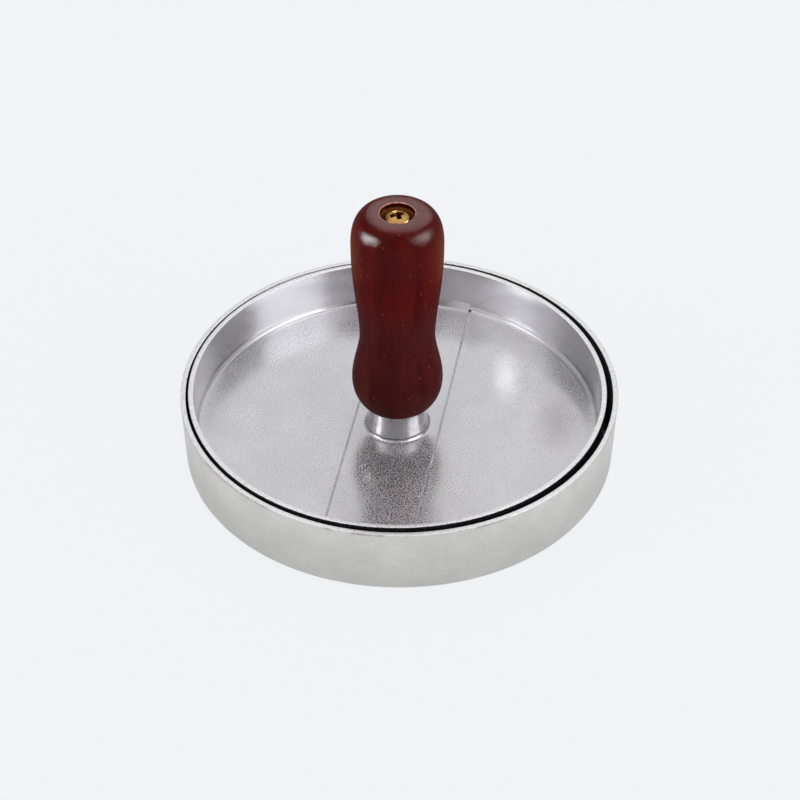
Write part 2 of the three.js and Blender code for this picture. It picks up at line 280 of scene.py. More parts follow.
def pan_finish():
    """Blasted casting with a fine grain; the rim is turned bright and keeps a ragged edge."""
    net = Finish("blasted and turned aluminium")
    ragged = net.noise(0.8 * MM, 4.0, 0.75)
    rim_height = net.math("MULTIPLY_ADD", ragged, -1.1 * MM, net.z)
    bright = net.fade(rim_height, PAN_TOP - 0.78 * MM, PAN_TOP - 0.6 * MM)
    inside = net.fade(net.radius, PAN_RADIUS - 1.1 * MM, PAN_RADIUS - 1.4 * MM)
    grain = net.noise(0.4 * MM, 3.0, 0.7)
    coarse = net.noise(9 * MM, 2.0, 0.5)
    cast = net.shade(colour(224, 224, 219), net.fade(coarse, 0.3, 0.7, 0.93, 1.0))
    cast = net.shade(cast, net.fade(grain, 0.3, 0.7, 0.8, 1.0))
    cast = net.shade(cast, net.fade(round_streaks(net), 0.3, 0.7, 0.95, 1.0))
    # painted shade: the outside is darker towards the floor and lighter towards the rim
    cast = net.shade(cast, net.fade(net.z, 0, PAN_TOP, 0.88, 1.06))
    # painted shade: the outside is darker towards its ends at -X and +X
    aside = net.math("ABSOLUTE", net.x)
    cast = net.shade(cast, net.fade(aside, 0.75 * PAN_RADIUS, PAN_RADIUS, 1.0, 0.9))
    edge = net.math("MULTIPLY_ADD", ragged, 0.5 * MM, net.radius)
    residue = net.math("MULTIPLY", net.fade(edge, PAN_RADIUS - 0.12 * MM, PAN_RADIUS + 0.05 * MM),
                       net.fade(net.z, PAN_TOP - 0.75 * MM, PAN_TOP - 0.4 * MM))
    residue = net.math("MULTIPLY", residue, net.fade(net.noise(14 * MM, 3.0, 0.6), 0.48, 0.6))
    burr = net.noise(0.35 * MM, 3.0, 0.7)
    turned = net.shade(colour(248, 248, 249), net.fade(burr, 0.3, 0.6, 0.7, 1.0))
    # painted shade: the pan's inside, seen in the gap round the plate, is a darker copy of the same metal
    inner = net.shade(colour(150, 150, 152), net.fade(grain, 0.3, 0.7, 0.75, 1.0))
    tint = net.blend(bright, net.blend(inside, cast, inner), turned)
    tint = net.blend(net.math("MULTIPLY", residue, 0.5), tint, colour(158, 138, 122))
    rough = net.blend(bright, net.fade(grain, 0.3, 0.7, 0.42, 0.6), 0.36)
    bumps = net.relief(net.noise(0.3 * MM, 2.0, 0.6), net.blend(bright, 0.07 * MM, 0.03 * MM))
    bumps = net.relief(turning_marks(net, 0.22 * MM), net.blend(bright, 0.0, 0.004 * MM), bumps)
    return net.wear(Base_Color=tint, Metallic=1.0, Roughness=rough, Normal=bumps)


def plate_finish():
    """Satin die casting, mottled and finely speckled, with patches of painted light and shade. The rim is
    turned bright, and painted shade lies just below it on the outside, where the gap round the plate is in
    shadow."""
    net = Finish("satin die-cast aluminium", PRESS_CENTRE)
    ragged = net.noise(0.6 * MM, 3.0, 0.7)
    rim_height = net.math("MULTIPLY_ADD", ragged, -0.4 * MM, net.z)
    bright = net.fade(rim_height, PLATE_TOP - 0.34 * MM, PLATE_TOP - 0.26 * MM)
    outside = net.fade(net.radius, PLATE_RADIUS - 1.0 * MM, PLATE_RADIUS - 0.75 * MM)
    reach = net.math("MULTIPLY_ADD", ragged, 0.35 * MM, net.radius)
    bright = net.math("MULTIPLY", bright,
                      net.fade(reach, PLATE_RADIUS + 0.2 * MM, PLATE_RADIUS + 0.12 * MM))
    wall = net.fade(net.radius, PLATE_RADIUS - 4.2 * MM, PLATE_RADIUS - 3.0 * MM)
    hub = net.fade(net.radius, HUB_FOOT_RADIUS + 0.3 * MM, HUB_FOOT_RADIUS - 0.3 * MM)
    smooth = net.math("MAXIMUM", wall, hub)
    clouds = net.noise(11 * MM, 3.0, 0.55)
    grain = net.noise(0.34 * MM, 2.0, 0.6)
    pits = net.specks(2.2 * MM, 0.2 * MM, 0.12)
    satin = net.shade(colour(224, 223, 226), net.fade(clouds, 0.3, 0.7, 0.94, 1.0))
    satin = net.shade(satin, net.fade(grain, 0.25, 0.75, 0.96, 1.0))
    satin = net.blend(net.math("MULTIPLY", pits, 0.6), satin, colour(110, 108, 110))
    # painted light and shade: bright and dark ovals laid over the satin floor
    for middle, reach, tone in PAINTED_LIGHT_PATCHES:
        satin = net.blend(net.patch(middle, reach), satin, colour(*tone))
    # painted shade: a dark band on the outside just under the rim, for the shadowed gap round the plate;
    # plain aluminium lies below it
    gap_shade = net.shade(colour(84, 84, 86), net.fade(net.noise(0.8 * MM, 3.0, 0.7), 0.3, 0.7, 0.35, 1.0))
    skirt = net.shade(colour(178, 178, 180), net.fade(grain, 0.3, 0.7, 0.8, 1.0))
    gap_shade = net.blend(net.fade(net.z, PLATE_TOP - 7 * MM, PLATE_TOP - 3 * MM), skirt, gap_shade)
    burr = net.noise(0.35 * MM, 3.0, 0.7)
    turned = net.shade(colour(249, 248, 249), net.fade(burr, 0.3, 0.6, 0.7, 1.0))
    tint = net.blend(bright, net.blend(outside, satin, gap_shade), turned)
    sparks = net.specks(0.42 * MM, 0.15 * MM, 0.7)
    dull = net.math("MAXIMUM", net.fade(grain, 0.47, 0.57), sparks)
    dull = net.math("MULTIPLY", dull, net.fade(smooth, 0, 1, 1.0, 0.12))
    rough = net.blend(dull, net.fade(clouds, 0.3, 0.7, 0.13, 0.19), 0.62)
    rough = net.blend(outside, rough, 0.6)
    rough = net.blend(bright, rough, 0.36)
    bumps = net.relief(grain, net.blend(outside, 0.003 * MM, 0.08 * MM))
    bumps = net.relief(net.noise(14 * MM, 1.0), 0.03 * MM, bumps)
    bumps = net.relief(burr, net.blend(bright, 0.0, 0.03 * MM), bumps)
    bumps = net.relief(turning_marks(net, 0.2 * MM), net.blend(bright, 0.0, 0.004 * MM), bumps)
    return net.wear(Base_Color=tint, Metallic=net.blend(dull, 1.0, 0.8), Roughness=rough, Normal=bumps)


def wood_finish():
    """Stained hardwood under gloss varnish, with raw wood at the counterbore's edge."""
    net = Finish("stained and varnished hardwood", PRESS_CENTRE)
    figure = net.noise(6 * MM, 3.0, 0.55, net.stretched((1.0, 1.0, 0.16)), 0.6)
    fibres = net.noise(0.55 * MM, 3.0, 0.6, net.stretched((1.0, 1.0, 0.06)))
    upper = net.fade(net.z, 42 * MM, 60 * MM)
    stain = net.blend(net.fade(figure, 0.3, 0.75),
                      net.blend(upper, colour(71, 22, 22), colour(77, 13, 12)),
                      net.blend(upper, colour(91, 32, 31), colour(97, 19, 15)))
    stain = net.shade(stain, net.fade(fibres, 0.3, 0.7, 0.8, 1.0))
    # painted light: in a band below the shoulder, the head's sides towards -X and +X are painted
    # orange-brown
    side = net.fade(net.math("ABSOLUTE", net.x), 8 * MM, 12.5 * MM)
    band = net.math("MULTIPLY", net.fade(net.z, 58 * MM, 63 * MM), net.fade(net.z, 77 * MM, 72 * MM))
    side_light = net.math("MULTIPLY", net.math("MULTIPLY", band, side), net.fade(figure, 0.3, 0.6, 0.6, 1.0))
    stain = net.blend(side_light, stain, colour(106, 36, 9))
    dust = net.math("MULTIPLY", net.specks(1.4 * MM, 0.12 * MM, 0.5), 0.8)
    stain = net.blend(dust, stain, colour(196, 130, 120))
    edge = net.math("MULTIPLY_ADD", net.noise(0.8 * MM, 2.0, 0.7), 0.5 * MM, net.radius)
    raw = net.math("MULTIPLY",
                   net.fade(edge, COUNTERBORE_RADIUS + 0.46 * MM, COUNTERBORE_RADIUS + 0.38 * MM),
                   net.fade(net.z, GRIP_TOP - 0.35 * MM, GRIP_TOP - 0.2 * MM))
    drilled = net.math("MULTIPLY",
                       net.fade(net.radius, COUNTERBORE_RADIUS + 0.1 * MM, COUNTERBORE_RADIUS),
                       net.fade(net.z, GRIP_TOP - 0.2 * MM, GRIP_TOP - 0.35 * MM))
    # bare drilled wood with painted shade and light: dark under the rim where its shadow falls, orange
    # lower down as painted light thrown from the brass head
    bore_shade_line = net.math("MULTIPLY_ADD", net.noise(0.7 * MM, 3.0, 0.7), 1.6 * MM, net.z)
    bore_light_and_shade = net.blend(net.fade(bore_shade_line, GRIP_TOP - 1.4 * MM, GRIP_TOP - 0.2 * MM),
                          colour(176, 96, 58), colour(44, 12, 8))
    tint = net.blend(drilled, stain, bore_light_and_shade)
    tint = net.blend(raw, tint, net.blend(net.fade(fibres, 0.35, 0.6), colour(176, 100, 90),
                                          colour(236, 172, 160)))
    bare = net.math("MAXIMUM", raw, drilled)
    rough = net.blend(bare, net.fade(fibres, 0.3, 0.7, 0.26, 0.4), 0.75)
    bumps = net.relief(fibres, 0.05 * MM)
    bumps = net.relief(net.noise(0.45 * MM, 3.0, 0.6), 0.1 * MM, bumps)
    return net.wear(Base_Color=tint, Metallic=0.0, Roughness=rough, Normal=bumps,
                    Specular_IOR_Level=0.0, Coat_Weight=net.blend(bare, 0.11, 0.0),
                    Coat_Roughness=0.13, Coat_IOR=1.5, Coat_Normal=bumps)


def plated_finish(name, tint, rough, depth, shaded_below=None):
    """Thin plating on steel, finely scratched. Below a height in the middle it is painted dark brown, as
    shade down in a recess.
    """
    net = Finish(name, PRESS_CENTRE)
    wear = net.noise(0.5 * MM, 3.0, 0.6)
    shade = net.shade(tint, net.fade(wear, 0.3, 0.7, 0.8, 1.0))
    bumps = net.relief(net.noise(0.35 * MM, 2.0, 0.6), depth)
    if shaded_below:
        # painted shade: dark brown below the height, within the recess's reach of the middle
        recess_shade = net.math("MULTIPLY", net.fade(net.z, shaded_below, shaded_below - 0.2 * MM),
                         net.fade(net.radius, RECESS_REACH + 0.3 * MM, RECESS_REACH))
        shade = net.blend(recess_shade, shade, colour(72, 34, 12))
    return net.wear(Base_Color=shade, Metallic=1.0,
                    Roughness=net.fade(wear, 0.3, 0.7, rough, rough + 0.14), Normal=bumps)


# ======================= Outlines =======================

def rounded(corners, steps=5):
    """The points of an outline [(radius, height, rounding)], its roundings as arcs."""
    points = []
    for i, (x, y, *rounding) in enumerate(corners):
        here = Vector((x, y))
        if not rounding:
            points.append(here)
            continue
        back = (Vector(corners[i - 1][:2]) - here).normalized()
        on = (Vector(corners[i + 1][:2]) - here).normalized()
        half = back.angle(on) / 2
        centre = here + (back + on).normalized() * (rounding[0] / math.sin(half))
        first = here + back * (rounding[0] / math.tan(half)) - centre
        last = here + on * (rounding[0] / math.tan(half)) - centre
        points += [centre + first.slerp(last, k / steps) * rounding[0] for k in range(steps + 1)]
    return points


def spaced(points, gap):
    """The same outline with points added, so that none lie further apart than gap."""
    out = [points[0]]
    for a, b in zip(points, points[1:]):
        count = max(1, math.ceil((b - a).length / gap))
        out += [a.lerp(b, k / count) for k in range(1, count + 1)]
    return out


def sweep(start, leave, arrive, end, steps):
    """A Bezier stretch of an outline, without its first point."""
    return [Vector(p[:2]) for p in interpolate_bezier(
        *(Vector((*q, 0)) for q in (start, leave, arrive, end)), steps + 1)][1:]


# ======================= Geometry trees =======================

def new_tree(name, sockets):
    """An empty geometry tree with one geometry in and out and named inputs."""
    tree = bpy.data.node_groups.new(name, "GeometryNodeTree")
    tree.interface.new_socket("Geometry", in_out="INPUT", socket_type="NodeSocketGeometry")
    tree.interface.new_socket("Geometry", in_out="OUTPUT", socket_type="NodeSocketGeometry")
    for label, kind in sockets.items():
        tree.interface.new_socket(label, in_out="INPUT", socket_type="NodeSocket" + kind)
    net = Net(tree)
    return net, net.add("NodeGroupInput").outputs


def end_tree(net, geometry, material):
    """Realize Instances, Set Material and the tree's output."""
    plain = net.add("GeometryNodeRealizeInstances", {0: geometry}).outputs[0]
    coated = net.add("GeometryNodeSetMaterial", {"Geometry": plain, "Material": material})
    net.add("NodeGroupOutput", {0: coated.outputs[0]})
    return net.tree


def turning_tree():
    """Turns an outline, a chain of points (radius, 0, height), about an upright axis.
    Unevenness draws the surface in by up to that much, in waves of the given size."""
    net, inputs = new_tree("turn an outline", {
        "Segments": "Int", "Centre": "Vector", "Unevenness": "Float", "Wave Size": "Float",
        "Seed": "Float", "Material": "Material"})
    count = net.add("GeometryNodeAttributeDomainSize", {0: inputs["Geometry"]}).outputs["Point Count"]
    columns = net.math("ADD", inputs["Segments"], 1)
    grid = net.add("GeometryNodeMeshGrid", {"Vertices X": columns, "Vertices Y": count})
    index = net.add("GeometryNodeInputIndex").outputs[0]
    row = net.math("MODULO", index, count)
    column = net.math("FLOOR", net.math("DIVIDE", index, count))
    here = net.add("GeometryNodeInputPosition").outputs[0]
    pick = net.add("GeometryNodeSampleIndex", {"Geometry": inputs["Geometry"], "Value": here,
                                               "Index": row}, data_type="FLOAT_VECTOR")
    point = net.add("ShaderNodeSeparateXYZ", {0: pick.outputs[0]}).outputs
    turn = net.math("DIVIDE", net.math("MULTIPLY", column, math.tau), inputs["Segments"])
    place = net.add("ShaderNodeCombineXYZ", {
        0: net.math("MULTIPLY", point["X"], net.math("COSINE", turn)),
        1: net.math("MULTIPLY", point["X"], net.math("SINE", turn)),
        2: point["Z"]}).outputs[0]
    shaped = net.add("GeometryNodeSetPosition", {
        "Geometry": grid.outputs["Mesh"],
        "Position": net.vector_math("ADD", place, inputs["Centre"])})
    closed = net.add("GeometryNodeMergeByDistance", {
        "Geometry": shaped.outputs[0], "Distance": 0.002 * MM})
    waves = net.add("ShaderNodeTexNoise", {
        "Vector": here, "W": inputs["Seed"], "Scale": net.math("DIVIDE", 1.0, inputs["Wave Size"]),
        "Detail": 2.0}, noise_dimensions="4D").outputs["Fac"]
    normal = net.add("GeometryNodeInputNormal").outputs[0]
    inward = net.add("ShaderNodeVectorMath", {
        0: normal, "Scale": net.math("MULTIPLY", net.math("MULTIPLY", waves, -1.0),
                                     inputs["Unevenness"])}, operation="SCALE").outputs[0]
    uneven = net.add("GeometryNodeSetPosition", {"Geometry": closed.outputs[0], "Offset": inward})
    smooth = net.add("GeometryNodeSetShadeSmooth", {"Geometry": uneven.outputs[0]})
    return end_tree(net, smooth.outputs[0], inputs["Material"])


def rib_tree():
    """Sets the rib it is given side by side along X, each as long as its chord of the circle."""
    net, inputs = new_tree("row of ribs", {
        "Rows Each Side": "Int", "Pitch": "Float", "Circle Radius": "Float",
        "Centre": "Vector", "Material": "Material"})
    reach = net.math("MULTIPLY", inputs["Rows Each Side"], inputs["Pitch"])
    first = net.add("ShaderNodeCombineXYZ", {0: net.math("MULTIPLY", reach, -1.0)}).outputs[0]
    line = net.add("GeometryNodeMeshLine", {
        "Count": net.math("MULTIPLY_ADD", inputs["Rows Each Side"], 2, 1), "Start Location": first,
        "Offset": net.add("ShaderNodeCombineXYZ", {0: inputs["Pitch"]}).outputs[0]})
    across = net.add("ShaderNodeSeparateXYZ", {0: net.add("GeometryNodeInputPosition").outputs[0]})
    squared = net.math("SUBTRACT", net.math("POWER", inputs["Circle Radius"], 2),
                       net.math("POWER", across.outputs["X"], 2))
    stretch = net.add("ShaderNodeCombineXYZ", {0: 1.0, 1: net.math("SQRT", squared), 2: 1.0})
    ribs = net.add("GeometryNodeInstanceOnPoints", {
        "Points": line.outputs[0], "Instance": inputs["Geometry"], "Scale": stretch.outputs[0]})
    moved = net.add("GeometryNodeTransform", {0: ribs.outputs[0], "Translation": inputs["Centre"]})
    return end_tree(net, moved.outputs[0], inputs["Material"])


def thread_tree():
    """A ridge of three sides that winds up a core, for a screw's thread."""
    net, inputs = new_tree("screw thread", {
        "Core Radius": "Float", "Ridge": "Float", "Pitch": "Float", "Length": "Float",
        "Start": "Vector", "Material": "Material"})
    turns = net.math("DIVIDE", inputs["Length"], inputs["Pitch"])
    coil = net.add("GeometryNodeCurveSpiral", {
        "Resolution": 24, "Rotations": turns, "Start Radius": inputs["Core Radius"],
        "End Radius": inputs["Core Radius"], "Height": inputs["Length"]})
    upright = net.add("GeometryNodeSetCurveNormal", {0: coil.outputs[0]}, mode="Z_UP")
    section = net.add("GeometryNodeCurvePrimitiveCircle", {"Resolution": 6, "Radius": inputs["Ridge"]})
    ridge = net.add("GeometryNodeCurveToMesh", {
        "Curve": upright.outputs[0], "Profile Curve": section.outputs[0], "Fill Caps": True})
    moved = net.add("GeometryNodeTransform", {0: ridge.outputs[0], "Translation": inputs["Start"]})
    return end_tree(net, moved.outputs[0], inputs["Material"])


def split_ring_tree():
    """A split ring of square wire with rounded corners, for a spring washer."""
    net, inputs = new_tree("split ring", {
        "Radius": "Float", "Wire Width": "Float", "Wire Height": "Float", "Split Angle": "Float",
        "Centre": "Vector", "Material": "Material"})
    arc = net.add("GeometryNodeCurveArc", {
        "Resolution": 72, "Radius": inputs["Radius"], "Start Angle": 0.0,
        "Sweep Angle": net.math("SUBTRACT", math.tau, inputs["Split Angle"])})
    section = net.add("GeometryNodeCurvePrimitiveQuadrilateral", {
        "Width": inputs["Wire Width"], "Height": inputs["Wire Height"]})
    soft = net.add("GeometryNodeFilletCurve", {
        "Curve": section.outputs[0], "Radius": 0.12 * MM, "Count": 3}, mode="POLY")
    ring = net.add("GeometryNodeCurveToMesh", {
        "Curve": arc.outputs[0], "Profile Curve": soft.outputs[0], "Fill Caps": True})
    moved = net.add("GeometryNodeTransform", {0: ring.outputs[0], "Translation": inputs["Centre"]})
    return end_tree(net, moved.outputs[0], inputs["Material"])


# ======================= Making pieces =======================

def in_scene(name, mesh):
    piece = bpy.data.objects.new(name, mesh)
    bpy.context.scene.collection.objects.link(piece)
    return piece


def settle(piece):
    """Turns what the piece's modifiers make into its plain mesh and takes them off."""
    bpy.context.view_layer.update()
    evaluated = piece.evaluated_get(bpy.context.evaluated_depsgraph_get())
    made = bpy.data.meshes.new_from_object(evaluated)
    piece.modifiers.clear()
    piece.data = made
    return piece


def grown(name, tree, base, **inputs):
    """A piece that a geometry tree makes from a base mesh, with its named inputs set."""
    piece = in_scene(name, base)
    modifier = piece.modifiers.new(tree.name, "NODES")
    modifier.node_group = tree
    for item in tree.interface.items_tree:
        key = item.name.replace(" ", "_").lower()
        if item.in_out == "INPUT" and key in inputs:
            modifier[item.identifier] = inputs[key]
    return settle(piece)


def combined(piece, other, operation):
    """Cuts or joins the piece with another one, which is used up."""
    modifier = piece.modifiers.new(operation.lower(), "BOOLEAN")
    modifier.object, modifier.operation, modifier.solver = other, operation, "EXACT"
    settle(piece)
    bpy.data.objects.remove(other)
    return piece


def finished(piece, material, angle=32):
    """One finish all over, and smooth shading except where faces meet more steeply than the angle."""
    piece.data.materials.clear()
    piece.data.materials.append(material)
    piece.data.polygons.foreach_set("material_index", [0] * len(piece.data.polygons))
    piece.data.shade_smooth()
    piece.data.set_sharp_from_angle(angle=math.radians(angle))
    return piece


def chain(points):
    """An outline as a mesh of points and edges, in the XZ plane."""
    mesh = bpy.data.meshes.new("outline")
    mesh.from_pydata([(p.x, 0, p.y) for p in points], [(i, i + 1) for i in range(len(points) - 1)], [])
    return mesh


def prism(section, length):
    """A solid of an outline in XZ, drawn out along Y by the length, half each way."""
    mesh = bpy.data.meshes.new("prism")
    shape = bmesh.new()
    near = [shape.verts.new((x, -length / 2, z)) for x, z in section]
    far = [shape.verts.new((x, length / 2, z)) for x, z in section]
    shape.faces.new(near)
    shape.faces.new(far[::-1])
    for i in range(len(section)):
        shape.faces.new((near[i - 1], near[i], far[i], far[i - 1]))
    bmesh.ops.recalc_face_normals(shape, faces=shape.faces)
    shape.to_mesh(mesh)
    shape.free()
    return mesh


TURNING = turning_tree()
RIBS = rib_tree()
THREAD = thread_tree()
SPLIT_RING = split_ring_tree()


def turned(name, points, material, segments=256, centre=PRESS_CENTRE, unevenness=0.0,
           wave_size=5 * MM, seed=0.0):
    return grown(name, TURNING, chain(points), segments=segments, centre=centre, material=material,
                 unevenness=unevenness, wave_size=wave_size, seed=seed)


def ribs(root, direction, centre, material):
    """The grill ribs on a face at height root, pointing up or down."""
    foot, top = RIB_FOOT_WIDTH / 2, RIB_TOP_WIDTH / 2
    crown = 0.3 * MM
    section = [(-foot, -RIB_ROOT), (foot, -RIB_ROOT), (foot, 0), (top + crown / 3, RIB_HEIGHT - crown),
               (top - crown, RIB_HEIGHT), (crown - top, RIB_HEIGHT), (-top - crown / 3, RIB_HEIGHT - crown),
               (-foot, 0)]
    unit = prism([(x, z * direction) for x, z in section], 2.0)
    return grown("ribs", RIBS, unit, rows_each_side=RIB_ROWS, pitch=RIB_PITCH, material=material,
                 circle_radius=RIB_FIELD_RADIUS, centre=centre + Vector((0, 0, root)))


def mould_pan():
    metal = pan_finish()
    foot = PAN_RADIUS - PAN_OUTER_DRAFT
    inner = PAN_RADIUS - PAN_RIM_WIDTH
    outline = rounded([
        (0, PAN_FOOT_STEP),
        (PAN_FOOT_INNER, PAN_FOOT_STEP, 0.15 * MM),
        (PAN_FOOT_INNER + PAN_FOOT_STEP, 0, 0.15 * MM),
        (foot, 0, 1.7 * MM),
        (PAN_RADIUS, PAN_TOP, 0.22 * MM),
        (inner, PAN_TOP, 0.12 * MM),
        (inner - PAN_INNER_DRAFT, PAN_FLOOR, 1.2 * MM),
        (0, PAN_FLOOR)])
    pan = turned("mould_pan_shell", spaced(outline, 2.5 * MM), metal, 288, Vector((0, 0, 0)),
                 0.08 * MM, 7 * MM, 1.0)
    combined(pan, ribs(PAN_FLOOR, 1, Vector((0, 0, 0)), metal), "UNION")
    return finished(pan, metal)


def strip_bar(section, length, shift=0.0):
    """A bar of that section along the plate's middle strip, to one side of the hub by shift."""
    bar = prism(section, length)
    turn_cos, turn_sin = math.cos(STRIP_TURN), math.sin(STRIP_TURN)
    for vertex in bar.vertices:
        x, y = vertex.co.x + shift, vertex.co.y
        vertex.co.x = x * turn_cos - y * turn_sin + PRESS_CENTRE.x
        vertex.co.y = x * turn_sin + y * turn_cos + PRESS_CENTRE.y
    return in_scene("bar", bar)


def press_plate():
    metal = plate_finish()
    edge = PLATE_RADIUS - PLATE_OUTER_DRAFT
    inner = PLATE_RADIUS - PLATE_RIM_WIDTH
    wall_foot = inner - PLATE_INNER_DRAFT
    outline = rounded([
        (0, PLATE_UNDERSIDE),
        (edge, PLATE_UNDERSIDE, 1.0 * MM),
        (PLATE_RADIUS, PLATE_TOP, 0.15 * MM),
        (inner, PLATE_TOP, 0.18 * MM),
        (wall_foot, PLATE_FLOOR + COVE_RISE, 0.5 * MM),
        (wall_foot - COVE_RUN, PLATE_FLOOR, 0.35 * MM),
        (HUB_FOOT_RADIUS, PLATE_FLOOR, HUB_FOOT_ROUND),
        (HUB_RADIUS, PLATE_FLOOR + HUB_FOOT_ROUND, 2.5 * MM),
        (HUB_TOP_RADIUS, HUB_TOP, 0.2 * MM),
        (HUB_HOLE_RADIUS, HUB_TOP, 0.15 * MM),
        (HUB_HOLE_RADIUS, HUB_HOLE_BOTTOM + 0.6 * MM),
        (0, HUB_HOLE_BOTTOM)])
    plate = turned("press_plate_casting", spaced(outline, 3 * MM), metal, 288,
                   unevenness=0.04 * MM, wave_size=9 * MM, seed=2.0)
    foot = wall_foot - STRIP_COVE_RUN
    root = wall_foot + STRIP_COVE_ROOT
    cove_top = PLATE_FLOOR + STRIP_COVE_RISE * (root - foot) / STRIP_COVE_RUN
    cove = turned("cove", [Vector(p) for p in (
        (foot, PLATE_FLOOR - STRIP_COVE_ROOT), (root, PLATE_FLOOR - STRIP_COVE_ROOT), (root, cove_top),
        (foot, PLATE_FLOOR), (foot, PLATE_FLOOR - STRIP_COVE_ROOT))], metal, 288)
    strip = [(-STRIP_HALF_WIDTH, 0), (STRIP_HALF_WIDTH, 0), (STRIP_HALF_WIDTH, PLATE_TOP),
             (-STRIP_HALF_WIDTH, PLATE_TOP)]
    combined(cove, strip_bar(strip, 2 * PLATE_RADIUS), "INTERSECT")
    combined(plate, cove, "UNION")
    combined(plate, ribs(PLATE_UNDERSIDE, -1, PRESS_CENTRE, metal), "UNION")
    groove = [(LINE_BOTTOM_SHIFT, PLATE_FLOOR - LINE_DEPTH),
              (LINE_GENTLE_SIDE, PLATE_FLOOR + LINE_DEPTH),
              (LINE_STEEP_SIDE, PLATE_FLOOR + LINE_DEPTH)]
    for side in (-1, 1):
        line = strip_bar(groove, 2 * (wall_foot - COVE_RUN + 0.2 * MM), side * STRIP_HALF_WIDTH)
        combined(plate, line, "DIFFERENCE")
    return finished(plate, metal, 19)


def handle():
    third = (NECK_Z - BULGE_Z) / 3
    rise = (BULGE_Z - HUB_TOP) * 0.55
    waist = (HEAD_END_Z - NECK_Z) * 0.27
    bottom = HUB_TOP
    seat = washer_low.z
    outline = [Vector((GRIP_BORE, bottom)), Vector((GRIP_END_RADIUS, bottom))]
    outline += sweep((GRIP_END_RADIUS, bottom), ((GRIP_END_RADIUS + BULGE_RADIUS) / 2, bottom),
                     (BULGE_RADIUS, BULGE_Z - rise), (BULGE_RADIUS, BULGE_Z), 24)
    outline += sweep((BULGE_RADIUS, BULGE_Z), (BULGE_RADIUS, BULGE_Z + third),
                     (NECK_RADIUS, NECK_Z - third), (NECK_RADIUS, NECK_Z), 24)
    outline += sweep((NECK_RADIUS, NECK_Z), (NECK_RADIUS, NECK_Z + waist),
                     (HEAD_END_RADIUS, HEAD_END_Z - 1.7 * waist), (HEAD_END_RADIUS, HEAD_END_Z), 32)
    outline += sweep((HEAD_END_RADIUS, HEAD_END_Z),
                     (HEAD_END_RADIUS + 0.25 * MM, HEAD_END_Z + (GRIP_TOP - HEAD_END_Z) * 0.7),
                     ((HEAD_END_RADIUS + FACE_RADIUS) * 0.57, GRIP_TOP), (FACE_RADIUS, GRIP_TOP), 28)
    outline += rounded([(FACE_RADIUS, GRIP_TOP), (COUNTERBORE_RADIUS, GRIP_TOP, 0.16 * MM),
                        (COUNTERBORE_RADIUS, seat, 0.2 * MM), (GRIP_BORE, seat),
                        (GRIP_BORE, bottom)])[1:]
    wood = wood_finish()
    return finished(turned("handle_wood", spaced(outline, 3 * MM), wood, 192), wood, 40)


def recess_cutter():
    """The cross recess of the screw's head: two wings that narrow downwards."""
    wings = []
    for turn in (RECESS_TURN, RECESS_TURN + math.pi / 2):
        mouth = RECESS_MOUTH
        narrow = RECESS_REACH * 0.32
        wing = prism([(-narrow, -RECESS_DEPTH), (narrow, -RECESS_DEPTH), (RECESS_REACH, 0),
                      (RECESS_REACH, mouth), (-RECESS_REACH, mouth), (-RECESS_REACH, 0)], RECESS_WIDTH)
        for vertex in wing.vertices:
            x, y = vertex.co.x, vertex.co.y
            vertex.co.x = x * math.cos(turn) - y * math.sin(turn) + PRESS_CENTRE.x
            vertex.co.y = x * math.sin(turn) + y * math.cos(turn) + PRESS_CENTRE.y
            vertex.co.z += SCREW_TOP
        wings.append(in_scene("wing", wing))
    return combined(wings[0], wings[1], "UNION")


def handle_screw():
    # the plating is painted dark brown below 0.55 mm under the top, as shade in the head's cross recess
    brass = plated_finish("bright brass plate", colour(196, 152, 92), 0.12, 0.05 * MM,
                          SCREW_TOP - 0.55 * MM)
    seat = spring_high.z
    edge = seat + HEAD_SIDE
    outline = rounded([(0, SCREW_TIP), (SCREW_CORE - TIP_CHAMFER, SCREW_TIP),
                       (SCREW_CORE, SCREW_TIP + 0.4 * MM), (SCREW_CORE, SCREW_TIP + THREAD_LENGTH),
                       (SCREW_CREST, SCREW_TIP + THREAD_LENGTH + THREAD_RUNOUT), (SCREW_CREST, seat),
                       (HEAD_RADIUS, seat, 0.2 * MM), (HEAD_RADIUS, edge)])
    outline += sweep((HEAD_RADIUS, edge), (HEAD_RADIUS, edge + (SCREW_TOP - edge) * 0.6),
                     (HEAD_RADIUS / 2, SCREW_TOP), (0, SCREW_TOP), 16)
    screw = turned("handle_screw_plated", outline, brass, 96)
    combined(screw, recess_cutter(), "DIFFERENCE")
    thread = grown("thread", THREAD, bpy.data.meshes.new("empty"), core_radius=SCREW_CORE - 0.02 * MM,
                   ridge=THREAD_RIDGE, pitch=THREAD_PITCH, length=THREAD_LENGTH - 1.5 * MM, material=brass,
                   start=PRESS_CENTRE + Vector((0, 0, SCREW_TIP + THREAD_START)))
    combined(screw, thread, "UNION")
    return finished(screw, brass, 35)


def flat_washer():
    outer = (washer_high.x - washer_low.x) / 2
    outline = rounded([(WASHER_HOLE, washer_low.z), (outer, washer_low.z, 0.1 * MM),
                       (outer, washer_high.z, 0.15 * MM), (WASHER_HOLE, washer_high.z, 0.1 * MM),
                       (WASHER_HOLE, washer_low.z)])
    plating = plated_finish("yellowish zinc plate", colour(205, 190, 140), 0.3, 0.01 * MM)
    return finished(turned("flat_washer_plated", outline, plating, 96), plating)


